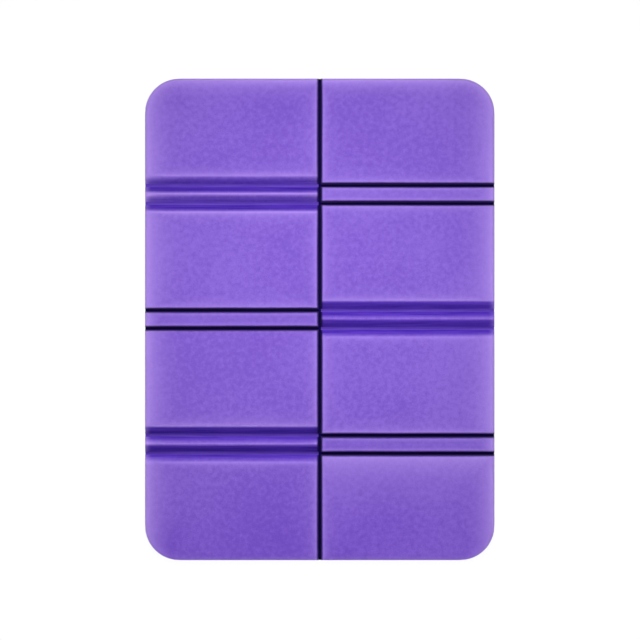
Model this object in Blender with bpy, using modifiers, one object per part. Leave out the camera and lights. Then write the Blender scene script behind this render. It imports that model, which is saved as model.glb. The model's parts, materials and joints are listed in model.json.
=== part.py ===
"""Folding foam sit mat: eight pressed panels, six spine strips and the living-hinge webs that join them.

Metres, +Z up. The mat lies flat, with its pressed face up and its plain back on z = 0. Y runs along the
mat, from row 4 up to row 1. X runs across it, from the left column to the right column.

Every cut is pressed from the face and stops at a thin web in the back. The two columns fold back to back on
the centre slit. Each fold between two rows has two hinge lines with a spine strip between them, so that the
doubled mat turns through a right angle twice and lies flat on itself. In the column that ends up inside the
fold the lines are V grooves, which close. In the other column they are plain slits, which open.
"""

import math

import bmesh
import bpy
from mathutils import Matrix, Vector

# Foam sheet
MAT_LENGTH = 0.390
MAT_WIDTH = 0.283
FOAM_THICKNESS = 0.007
CORNER_RADIUS = 0.028
EDGE_RADIUS = 0.0022

# Fold
ROWS = 4
HINGE_TURN = math.radians(90)
LAYER_GAP = 0.0003

# Living-hinge webs
WEB_THICKNESS = 0.0007
WEB_WIDTH = 0.0018
WEB_CLEARANCE = 0.00006

# Press tool
GROOVE_LIP_RADIUS = 0.006
SLIT_LIP_RADIUS = 0.0012
LIP_EXIT_ANGLE = math.radians(8)
LIP_RUN_OUT = 0.0003

# Modelling
TOOL_MARGIN = 0.005
CORNER_STEPS = 8
EDGE_STEPS = 3
LIP_STEPS = 5
WELD_DISTANCE = 0.000001
SMOOTH_ANGLE = math.radians(32)

# Sizes that follow from those above
FOLDS = ROWS - 1
AXIS_DROP = LAYER_GAP / 2
SPINE_PITCH = 2 * (FOAM_THICKNESS + LAYER_GAP)
PANEL_PITCH = (MAT_LENGTH - FOLDS * SPINE_PITCH) / ROWS
SLIT_HALF = math.hypot(WEB_WIDTH / 2, WEB_THICKNESS + AXIS_DROP) + WEB_CLEARANCE
GROOVE_WALL_ANGLE = HINGE_TURN / 2
HALF_LENGTH = MAT_LENGTH / 2
HALF_WIDTH = MAT_WIDTH / 2

LEFT = -1
RIGHT = 1
SIDE_NAMES = {LEFT: "left", RIGHT: "right"}
UPPER = 1
LOWER = -1
LINE_NAMES = {UPPER: "upper", LOWER: "lower"}
ROOT_SIDE = LEFT
CENTRE_WEB_SIDE = RIGHT


def clear_scene():
    for obj in list(bpy.data.objects):
        bpy.data.objects.remove(obj, do_unlink=True)


def new_collection(name):
    collection = bpy.data.collections.new(name)
    bpy.context.scene.collection.children.link(collection)
    return collection


def new_material(name, colour, roughness):
    material = bpy.data.materials.new(name)
    material.use_nodes = True
    shader = material.node_tree.nodes["Principled BSDF"]
    shader.inputs["Base Color"].default_value = (*colour, 1.0)
    shader.inputs["Roughness"].default_value = roughness
    shader.inputs["Metallic"].default_value = 0.0
    material.diffuse_color = (*colour, 1.0)
    return material


def hide_tool(obj):
    """Makes a press tool or a helper shape a wire that no render shows."""
    obj.hide_render = True
    obj.display_type = "WIRE"


# Places on the mat


def hinge_y(fold, line):
    """Y of a hinge line. Folds count from 1 at the top of the mat. Each has an upper and a lower line."""
    upper = HALF_LENGTH - fold * PANEL_PITCH - (fold - 1) * SPINE_PITCH
    return upper if line == UPPER else upper - SPINE_PITCH


def row_limits(row):
    """Lowest and highest Y of a row, from hinge line to hinge line, or past the edge of the mat."""
    high = HALF_LENGTH + TOOL_MARGIN if row == 1 else hinge_y(row - 1, LOWER)
    low = -HALF_LENGTH - TOOL_MARGIN if row == ROWS else hinge_y(row, UPPER)
    return low, high


def row_middle(row):
    return HALF_LENGTH - (row - 0.5) * PANEL_PITCH - (row - 1) * SPINE_PITCH


def fold_middle(fold):
    return (hinge_y(fold, UPPER) + hinge_y(fold, LOWER)) / 2


def is_grooved(side, fold):
    """True where a fold closes on the pressed face: odd ones on the left, even ones on the right."""
    return (fold % 2 == 1) == (side == LEFT)


# Shapes


def box(name, low, high, collection):
    """A box object between two corners, with its origin at its centre."""
    low, high = Vector(low), Vector(high)
    shape = bmesh.new()
    bmesh.ops.create_cube(shape, size=1.0, matrix=Matrix.Diagonal((*(high - low), 1.0)))
    mesh = bpy.data.meshes.new(name)
    shape.to_mesh(mesh)
    shape.free()
    obj = bpy.data.objects.new(name, mesh)
    obj.location = (low + high) / 2
    collection.objects.link(obj)
    return obj


def prism(name, outline, thickness, collection):
    """A closed mesh prism: a flat outline in local XY, filled and extruded evenly to both sides of it."""
    curve = bpy.data.curves.new(name, "CURVE")
    curve.dimensions = "2D"
    curve.fill_mode = "BOTH"
    curve.extrude = thickness / 2
    spline = curve.splines.new("POLY")
    spline.points.add(len(outline) - 1)
    for point, (x, y) in zip(spline.points, outline):
        point.co = (x, y, 0.0, 1.0)
    spline.use_cyclic_u = True
    drawn = bpy.data.objects.new(name, curve)
    collection.objects.link(drawn)
    mesh = bpy.data.meshes.new_from_object(drawn.evaluated_get(bpy.context.evaluated_depsgraph_get()))
    bpy.data.objects.remove(drawn, do_unlink=True)
    bpy.data.curves.remove(curve)
    mesh.name = name
    shape = bmesh.new()
    shape.from_mesh(mesh)
    bmesh.ops.remove_doubles(shape, verts=shape.verts, dist=WELD_DISTANCE)
    bmesh.ops.recalc_face_normals(shape, faces=shape.faces)
    shape.to_mesh(mesh)
    shape.free()
    mesh.shade_smooth()
    mesh.set_sharp_from_angle(angle=SMOOTH_ANGLE)
    obj = bpy.data.objects.new(name, mesh)
    collection.objects.link(obj)
    return obj


def rounded_rectangle(half_width, half_length, radius, steps):
    """Corner arcs of a rectangle, anticlockwise from its right side."""
    outline = []
    for quarter, (sx, sy) in enumerate(((1, 1), (-1, 1), (-1, -1), (1, -1))):
        for step in range(steps + 1):
            angle = math.pi / 2 * (quarter + step / steps)
            x = sx * (half_width - radius) + radius * math.cos(angle)
            y = sy * (half_length - radius) + radius * math.sin(angle)
            outline.append((x, y))
    return outline


def press_profile(wall_angle, lip_radius):
    """Section of a press tool: distance from the hinge line, and height over the back of the mat.

    Each side rises straight past the web, leans out by wall_angle and rolls over a lip, short of level by
    the exit angle, so that it crosses the face of the sheet cleanly.
    """
    lip_height = FOAM_THICKNESS - lip_radius
    lean = (lip_height - WEB_THICKNESS) * math.sin(wall_angle)
    lip_centre = SLIT_HALF + (lip_radius + lean) / math.cos(wall_angle)
    side = [(SLIT_HALF, -TOOL_MARGIN), (SLIT_HALF, WEB_THICKNESS)]
    first = math.pi / 2 - wall_angle
    for step in range(LIP_STEPS + 1):
        angle = first + (LIP_EXIT_ANGLE - first) * step / LIP_STEPS
        side.append((lip_centre - lip_radius * math.sin(angle), lip_height + lip_radius * math.cos(angle)))
    last_x, last_z = side[-1]
    rise = FOAM_THICKNESS + LIP_RUN_OUT - last_z
    run_out_x = last_x + rise / math.tan(LIP_EXIT_ANGLE)
    side.append((run_out_x, last_z + rise))
    side.append((run_out_x, FOAM_THICKNESS + TOOL_MARGIN))
    return side + [(-x, z) for x, z in reversed(side)]


# Sheet and press tools


def make_foam_sheet(name, tools):
    """The whole sheet before pressing, with its rounded corners and edges."""
    outline = rounded_rectangle(HALF_WIDTH, HALF_LENGTH, CORNER_RADIUS, CORNER_STEPS)
    sheet = prism(name, outline, FOAM_THICKNESS, tools)
    sheet.location.z = FOAM_THICKNESS / 2
    bevel = sheet.modifiers.new("rounded_edges", "BEVEL")
    bevel.width = EDGE_RADIUS
    bevel.segments = EDGE_STEPS
    bevel.limit_method = "ANGLE"
    bevel.angle_limit = math.radians(60)
    hide_tool(sheet)
    return sheet


def make_press_tools(tools):
    """The centre slit's blade, then a V tool or a blade for each hinge line of each column."""
    blade_profile = press_profile(0.0, SLIT_LIP_RADIUS)
    groove_profile = press_profile(GROOVE_WALL_ANGLE, GROOVE_LIP_RADIUS)
    centre = prism("centre_blade", blade_profile, MAT_LENGTH + 2 * TOOL_MARGIN, tools)
    centre.rotation_euler = (math.pi / 2, 0.0, 0.0)
    made = [centre]
    length = HALF_WIDTH + TOOL_MARGIN
    for side in (LEFT, RIGHT):
        for fold in range(1, FOLDS + 1):
            for line in (UPPER, LOWER):
                profile = groove_profile if is_grooved(side, fold) else blade_profile
                name = f"press_{SIDE_NAMES[side]}_{fold}_{LINE_NAMES[line]}"
                tool = prism(name, profile, length, tools)
                tool.rotation_euler = (math.pi / 2, 0.0, math.pi / 2)
                tool.location = (side * length / 2, hinge_y(fold, line), 0.0)
                made.append(tool)
    for tool in made:
        hide_tool(tool)
    return made


def press(sheet, press_tools):
    """Cuts every groove and slit into the sheet, which then is the mat's separate panels and strips."""
    for tool in press_tools:
        cut = sheet.modifiers.new(tool.name, "BOOLEAN")
        cut.operation = "DIFFERENCE"
        cut.solver = "EXACT"
        cut.object = tool


def cut_from(obj, sheet, material):
    """Leaves of a box only what it shares with a sheet."""
    common = obj.modifiers.new("shape", "BOOLEAN")
    common.operation = "INTERSECT"
    common.solver = "EXACT"
    common.object = sheet
    obj.data.materials.append(material)


# Joint axes


def add_axis(axes, key, place, parent_key, collection):
    """Puts an empty on the axis that a body turns about, carried by its parent body's axis."""
    kind, side, number = key
    axis = bpy.data.objects.new(f"axis_{kind}_{SIDE_NAMES[side]}_{number}", None)
    axis.empty_display_size = FOAM_THICKNESS
    axis.location = place
    collection.objects.link(axis)
    if parent_key:
        seat(axis, axes[parent_key])
    axes[key] = axis


def axis_place(axis):
    """World place of an axis: the sum of the steps down its chain, since none of them is turned."""
    place = Vector()
    while axis is not None:
        place += axis.location
        axis = axis.parent
    return place


def seat(obj, axis):
    """Hangs an object on a joint's axis and leaves it where it is."""
    obj.location -= axis_place(axis)
    obj.parent = axis


def make_axes(collection):
    """One empty for each body.

    The last row's panel in the root column is held still. From there the mat hangs together row by row. A
    fold turns on the column whose hinge lines are slits, which open, and each block of the other column
    hangs on its neighbour across the centre slit.
    """
    axes = {}
    last_row = (0.0, row_middle(ROWS), -AXIS_DROP)
    add_axis(axes, ("panel", ROOT_SIDE, ROWS), last_row, None, collection)
    add_axis(axes, ("panel", -ROOT_SIDE, ROWS), last_row, ("panel", ROOT_SIDE, ROWS), collection)
    for fold in range(FOLDS, 0, -1):
        side = LEFT if is_grooved(RIGHT, fold) else RIGHT
        x = side * HALF_WIDTH / 2
        strip, panel = ("strip", side, fold), ("panel", side, fold)
        add_axis(axes, strip, (x, hinge_y(fold, LOWER), -AXIS_DROP), ("panel", side, fold + 1), collection)
        add_axis(axes, panel, (x, hinge_y(fold, UPPER), -AXIS_DROP), strip, collection)
        add_axis(axes, ("strip", -side, fold), (0.0, fold_middle(fold), -AXIS_DROP), strip, collection)
        add_axis(axes, ("panel", -side, fold), (0.0, row_middle(fold), -AXIS_DROP), panel, collection)
    return axes


# Pieces


def column_limits(side):
    """Lowest and highest X of a column, from the centre line to past the edge of the mat."""
    return sorted((0.0, side * (HALF_WIDTH + TOOL_MARGIN)))


def make_block(name, side, y_limits, sheet, material, mat):
    """One pressed block of foam: what the sheet holds between two hinge lines of a column."""
    x_low, x_high = column_limits(side)
    y_low, y_high = y_limits
    block = box(name, (x_low, y_low, -TOOL_MARGIN), (x_high, y_high, FOAM_THICKNESS + TOOL_MARGIN), mat)
    cut_from(block, sheet, material)
    return block


def make_web(name, x_limits, y_limits, sheet, material, mat):
    """One living-hinge web, flush with the back of the mat and trimmed to the sheet's edge."""
    low = (x_limits[0], y_limits[0], -TOOL_MARGIN)
    high = (x_limits[1], y_limits[1], WEB_THICKNESS)
    web = box(name, low, high, mat)
    cut_from(web, sheet, material)
    return web


def make_panels(axes, pressed, foam, mat):
    for side in (LEFT, RIGHT):
        for row in range(1, ROWS + 1):
            name = f"panel_{SIDE_NAMES[side]}_{row}"
            panel = make_block(name, side, row_limits(row), pressed, foam, mat)
            seat(panel, axes["panel", side, row])


def make_strips(axes, pressed, foam, ridge_foam, mat):
    for side in (LEFT, RIGHT):
        for fold in range(1, FOLDS + 1):
            grooved = is_grooved(side, fold)
            name = f"{'ridge' if grooved else 'flat'}_strip_{SIDE_NAMES[side]}_{fold}"
            limits = (hinge_y(fold, LOWER), hinge_y(fold, UPPER))
            strip = make_block(name, side, limits, pressed, ridge_foam if grooved else foam, mat)
            seat(strip, axes["strip", side, fold])


def make_hinge_webs(axes, sheet, web_foam, mat):
    """Two webs on each strip, which reach in to the centre line and are parted there by the layer gap."""
    for side in (LEFT, RIGHT):
        x_limits = sorted((side * AXIS_DROP, side * (HALF_WIDTH + TOOL_MARGIN)))
        for fold in range(1, FOLDS + 1):
            for line in (UPPER, LOWER):
                y = hinge_y(fold, line)
                name = f"hinge_web_{SIDE_NAMES[side]}_{fold}_{LINE_NAMES[line]}"
                web = make_web(name, x_limits, (y - WEB_WIDTH / 2, y + WEB_WIDTH / 2), sheet, web_foam, mat)
                seat(web, axes["strip", side, fold])


def make_centre_webs(axes, sheet, web_foam, mat):
    """The centre fold's web, in one length for each row and each spine strip, carried by one column."""
    x_limits = (-WEB_WIDTH / 2, WEB_WIDTH / 2)
    for row in range(1, ROWS + 1):
        low, high = row_limits(row)
        y_limits = (low + SLIT_HALF, high - SLIT_HALF)
        web = make_web(f"centre_web_row_{row}", x_limits, y_limits, sheet, web_foam, mat)
        seat(web, axes["panel", CENTRE_WEB_SIDE, row])
    for fold in range(1, FOLDS + 1):
        y_limits = (hinge_y(fold, LOWER) + SLIT_HALF, hinge_y(fold, UPPER) - SLIT_HALF)
        web = make_web(f"centre_web_fold_{fold}", x_limits, y_limits, sheet, web_foam, mat)
        seat(web, axes["strip", CENTRE_WEB_SIDE, fold])


def main():
    clear_scene()
    mat = new_collection("folding_sit_mat")
    tools = new_collection("press_tools")
    foam = new_material("violet_foam", (0.235, 0.125, 0.62), 0.72)
    ridge_foam = new_material("pressed_violet_foam", (0.11, 0.05, 0.42), 0.6)
    web_foam = new_material("fused_web_foam", (0.03, 0.012, 0.16), 0.5)
    sheet = make_foam_sheet("foam_sheet", tools)
    pressed = make_foam_sheet("pressed_sheet", tools)
    press(pressed, make_press_tools(tools))
    axes = make_axes(mat)
    make_panels(axes, pressed, foam, mat)
    make_strips(axes, pressed, foam, ridge_foam, mat)
    make_hinge_webs(axes, sheet, web_foam, mat)
    make_centre_webs(axes, sheet, web_foam, mat)


main()
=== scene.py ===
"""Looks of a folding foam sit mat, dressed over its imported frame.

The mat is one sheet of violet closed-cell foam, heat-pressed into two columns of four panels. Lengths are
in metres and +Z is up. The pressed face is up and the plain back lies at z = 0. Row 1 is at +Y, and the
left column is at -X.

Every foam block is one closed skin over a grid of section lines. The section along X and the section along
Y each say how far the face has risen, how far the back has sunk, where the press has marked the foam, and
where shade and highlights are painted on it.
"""

import json
import logging
import math
from dataclasses import dataclass, fields
from enum import Enum

import bpy
import numpy as np
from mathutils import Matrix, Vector, noise


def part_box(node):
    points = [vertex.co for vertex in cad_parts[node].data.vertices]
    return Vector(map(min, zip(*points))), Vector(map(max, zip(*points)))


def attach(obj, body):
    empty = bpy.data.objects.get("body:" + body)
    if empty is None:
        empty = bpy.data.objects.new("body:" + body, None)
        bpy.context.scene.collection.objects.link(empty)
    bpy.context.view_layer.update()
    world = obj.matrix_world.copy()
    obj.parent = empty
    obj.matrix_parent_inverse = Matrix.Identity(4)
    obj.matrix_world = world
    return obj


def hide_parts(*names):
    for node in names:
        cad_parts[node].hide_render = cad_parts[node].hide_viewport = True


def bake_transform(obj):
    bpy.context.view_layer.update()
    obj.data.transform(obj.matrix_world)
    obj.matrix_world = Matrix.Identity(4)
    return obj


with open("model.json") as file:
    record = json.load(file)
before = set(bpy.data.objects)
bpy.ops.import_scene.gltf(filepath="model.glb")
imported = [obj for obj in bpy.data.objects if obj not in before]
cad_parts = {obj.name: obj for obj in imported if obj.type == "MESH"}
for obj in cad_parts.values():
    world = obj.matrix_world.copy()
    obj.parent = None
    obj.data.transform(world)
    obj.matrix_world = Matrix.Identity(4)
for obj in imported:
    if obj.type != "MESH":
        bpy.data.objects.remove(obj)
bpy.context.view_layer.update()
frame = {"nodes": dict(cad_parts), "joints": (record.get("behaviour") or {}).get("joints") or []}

log = logging.getLogger("foam_sit_mat")

Pair = tuple[float, float]
Colour = tuple[float, float, float]
Point = tuple[float, float, float]
Piece = bpy.types.Object
Material = bpy.types.Material
Node = bpy.types.Node
Socket = bpy.types.NodeSocket

WHITE = (1.0, 1.0, 1.0, 1.0)

# An edge of a skin that turns by more than this is shaded as a crease
CREASE_ANGLE = math.radians(48)

# The middle of a noise pattern, which runs from 0 to 1
NOISE_MIDDLE = 0.5

# Blender draws the offsets of its noise vectors from the clock unless it is given a seed
NOISE_SEED = 7

# The places of the colour sockets on a Mix node
MIX_FACTOR = 0
MIX_FIRST = 6
MIX_SECOND = 7
MIX_RESULT = 2


class Signed(Enum):
    """A choice whose value is its sign along an axis."""

    @property
    def word(self) -> str:
        """Its word in the names of nodes, bodies and pieces."""
        return self.name.lower()


class Side(Signed):
    """A column of the mat. The value is its sign along X."""

    LEFT = -1
    RIGHT = 1


class Line(Signed):
    """A hinge line of a fold, or an end of a row. The value is its sign along Y."""

    LOWER = -1
    UPPER = 1


class EdgeKind(Enum):
    """How a foam block ends on one side."""

    # The pale rims are painted sheen: broad on the long sides, narrower at the head, and faint at the
    # foot, where less light falls.
    SIDE = "long side of the outline, with a broad pale rim"
    HEAD = "outline of the first row, with a pale rim"
    FOOT = "outline of the last row, with a faint rim"
    SLIT = "narrow slit with a small lip"
    GROOVE = "sloping wall of a V groove"

    @property
    def on_outline(self) -> bool:
        """Whether the edge is part of the mat's outline."""
        return self in (EdgeKind.SIDE, EdgeKind.HEAD, EdgeKind.FOOT)


class Run(Enum):
    """The direction that a hinge web runs in."""

    ALONG_X = "between two rows"
    ALONG_Y = "between the two columns"


def smooth_step(low: float, high: float, value: np.ndarray) -> np.ndarray:
    """Eases from 0 at low to 1 at high.

    Args:
        low: The value at which the step begins.
        high: The value at which the step is complete.
        value: Where to read the step.

    Returns:
        The step at each value.
    """
    share = np.clip((value - low) / (high - low), 0.0, 1.0)
    return share * share * (3.0 - 2.0 * share)


def rounded_quarter(power: float, steps: int) -> tuple[np.ndarray, np.ndarray]:
    """Makes a quarter of a superellipse, from a steep foot to a level top.

    Args:
        power: 2 gives a quarter circle, and more gives a squarer shoulder.
        steps: The number of points.

    Returns:
        The shares of the full inset and of the full rise at each point.
    """
    turn = np.linspace(0.0, math.pi / 2, steps)
    inset = 1.0 - np.clip(np.cos(turn), 0.0, 1.0) ** (2.0 / power)
    rise = np.sin(turn) ** (2.0 / power)
    return inset, rise


def srgb(red: int, green: int, blue: int) -> tuple[float, float, float, float]:
    """Turns a display colour into the linear colour that the shaders take.

    Args:
        red: Red, 0 to 255.
        green: Green, 0 to 255.
        blue: Blue, 0 to 255.

    Returns:
        The linear colour with full alpha.
    """
    linear = []
    for level in (red, green, blue):
        share = level / 255.0
        linear.append(share / 12.92 if share <= 0.04045 else ((share + 0.055) / 1.055) ** 2.4)
    return linear[0], linear[1], linear[2], 1.0


@dataclass(frozen=True)
class GrooveWall:
    """How the hot tool has marked one wall of a V groove, with painted shade in the groove and a painted
    highlight on its shoulder.

    Attributes:
        mark_start: Where the press mark and its painted shade start to fade, in wall lengths from the
            hinge line.
        mark_end: Where it has faded, in wall lengths.
        mark: Strength of the mark, which is partly the pressed foam's colour and partly painted shade deep
            in the groove.
        scorch: How much of the dark painted shade shows in the mark.
        rim: Strength of the painted highlight along the shoulder.
    """

    mark_start: float
    mark_end: float
    mark: float
    scorch: float
    rim: float


# By fold and by the end of the block that the wall is on. The walls differ in painted shade and highlight:
# in folds 2 and 3 the walls that face the foot are darker, as if lit from the head.
GROOVE_WALLS = {
    (1, Line.LOWER): GrooveWall(mark_start=0.45, mark_end=1.36, mark=0.72, scorch=0.0, rim=0.75),
    (1, Line.UPPER): GrooveWall(mark_start=0.60, mark_end=1.24, mark=1.0, scorch=0.18, rim=0.85),
    (2, Line.LOWER): GrooveWall(mark_start=1.06, mark_end=1.42, mark=0.95, scorch=0.0, rim=0.75),
    (2, Line.UPPER): GrooveWall(mark_start=0.50, mark_end=1.24, mark=1.0, scorch=0.05, rim=0.40),
    (3, Line.LOWER): GrooveWall(mark_start=1.00, mark_end=1.36, mark=1.0, scorch=0.20, rim=0.80),
    (3, Line.UPPER): GrooveWall(mark_start=0.30, mark_end=1.24, mark=1.0, scorch=0.0, rim=0.50),
}


@dataclass(frozen=True)
class RimFade:
    """A pale rim, a painted highlight, that fades fast at first and then slowly.

    Attributes:
        near: The length over which the fast part fades.
        far: The length over which the slow part fades.
        far_share: The slow part's share.
        strength: The rim's strength where it is palest.
    """

    near: float
    far: float
    far_share: float
    strength: float = 1.0

    def at(self, past: np.ndarray) -> np.ndarray:
        """Reads the rim's strength.

        Args:
            past: Distances past the rim's palest line.

        Returns:
            The strength at each distance.
        """
        beyond = np.maximum(past, 0.0)
        slow = self.far_share * np.exp(-beyond / self.far)
        return self.strength * ((1.0 - self.far_share) * np.exp(-beyond / self.near) + slow)


# By fold, hinge line and end of the block, for the slits whose painted highlights aren't the usual one:
# weaker on one lip of fold 2, stronger and broader on one lip of fold 3.
SLIT_RIMS = {
    (2, Line.LOWER, Line.UPPER): RimFade(near=0.0016, far=0.0080, far_share=0.35, strength=0.1),
    (3, Line.LOWER, Line.UPPER): RimFade(near=0.0030, far=0.0180, far_share=0.75, strength=0.85),
}


@dataclass(frozen=True)
class BlockEdge:
    """One side of a foam block.

    Attributes:
        kind: How the block ends there.
        place: The hinge line or the outline that the side is measured from.
        wall: The marks on a V groove's wall.
        rim: The painted highlight along the edge, where it isn't the usual one.
    """

    kind: EdgeKind
    place: float
    wall: GrooveWall | None = None
    rim: RimFade | None = None


@dataclass(frozen=True)
class MatPlan:
    """The mat's sizes and hinge lines, read from the frame.

    Attributes:
        half_width: From the centre slit to the outline, along X.
        half_length: From the middle to the outline, along Y.
        thickness: Height of the panels' faces.
        web_thickness: Height of the webs that the press leaves under the hinge lines.
        web_half: From a hinge line to the edge of its web, where a slit's wall stands.
        groove_half: From a hinge line to the foot of a V groove's wall.
        hinge_places: Each fold joint's place along Y.
        corner_radius: Radius of the mat's four corners.
        rows: Rows of panels.
    """

    half_width: float
    half_length: float
    thickness: float
    web_thickness: float
    web_half: float
    groove_half: float
    hinge_places: dict[str, float]
    corner_radius: float = 0.028
    rows: int = 4

    @classmethod
    def from_frame(cls) -> "MatPlan":
        """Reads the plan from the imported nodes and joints.

        Returns:
            The plan.
        """
        panel_low, panel_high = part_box("panel_right_1")
        web_low, web_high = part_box("centre_web_row_1")
        return cls(
            half_width=panel_high.x,
            half_length=panel_high.y,
            thickness=panel_high.z,
            web_thickness=web_high.z,
            web_half=(web_high.x - web_low.x) / 2,
            groove_half=panel_low.x,
            hinge_places={
                joint["name"]: joint["pos_m"][1]
                for joint in frame["joints"]
                if joint["name"].startswith("fold_")
            },
        )

    @property
    def depth(self) -> float:
        """Height of the faces above the parting line, which is level with the webs."""
        return self.thickness - self.web_thickness

    @property
    def row_numbers(self) -> range:
        """The numbers of the rows, from the head."""
        return range(1, self.rows + 1)

    @property
    def folds(self) -> range:
        """The numbers of the folds between the rows."""
        return range(1, self.rows)

    def panel_body(self, side: Side, row: int) -> str:
        """The name of a panel's body."""
        return f"{side.word}_{row}"

    def spine_body(self, side: Side, fold: int) -> str:
        """The name of a spine strip's body."""
        return f"spine_{side.word}_{fold}"

    def hinge(self, fold: int, line: Line) -> float:
        """The place of a hinge line along Y."""
        return self.hinge_places[f"fold_{fold}_{line.word}"]

    def grooved(self, side: Side, fold: int) -> bool:
        """Whether a fold's lines are V grooves in that column."""
        return f"ridge_strip_{side.word}_{fold}" in frame["nodes"]

    def fold_edge(self, side: Side, fold: int, line: Line, end: Line) -> BlockEdge:
        """Says how a block ends at a hinge line.

        Args:
            side: The block's column.
            fold: The fold.
            line: The fold's hinge line.
            end: Which end of the block.

        Returns:
            The block's edge there.
        """
        if self.grooved(side, fold):
            return BlockEdge(EdgeKind.GROOVE, self.hinge(fold, line), GROOVE_WALLS[fold, end])
        return BlockEdge(EdgeKind.SLIT, self.hinge(fold, line), rim=SLIT_RIMS.get((fold, line, end)))

    def row_end(self, side: Side, row: int, end: Line) -> BlockEdge:
        """Says how a panel ends along Y.

        Args:
            side: The panel's column.
            row: The panel's row.
            end: Which end of the row.

        Returns:
            The panel's edge there.
        """
        fold = row if end is Line.LOWER else row - 1
        if fold not in self.folds:
            kind = EdgeKind.HEAD if end is Line.UPPER else EdgeKind.FOOT
            return BlockEdge(kind, end.value * self.half_length)
        facing = Line.UPPER if end is Line.LOWER else Line.LOWER
        return self.fold_edge(side, fold, facing, end)


@dataclass(frozen=True)
class SkinLines:
    """What a block's skin does over its grid lines, with one value for each line.

    Attributes:
        rise: 0 at the parting line, 1 on the face.
        sink: 0 at the parting line, 1 on the back.
        pressed: 1 where the hot tool has pressed the foam and, in a V groove, where shade is painted deep
            in the groove.
        seared: Painted shade, 1 on a slit's wall and less on a groove's wall.
        rim: 1 where a painted highlight makes the skin pale.
    """

    rise: np.ndarray
    sink: np.ndarray
    pressed: np.ndarray
    seared: np.ndarray
    rim: np.ndarray


@dataclass(frozen=True)
class EdgeProfile(SkinLines):
    """The section of one edge, from its parting line inwards.

    Attributes:
        inset: Each line's distance from the outline or the hinge line.
    """

    inset: np.ndarray


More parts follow.
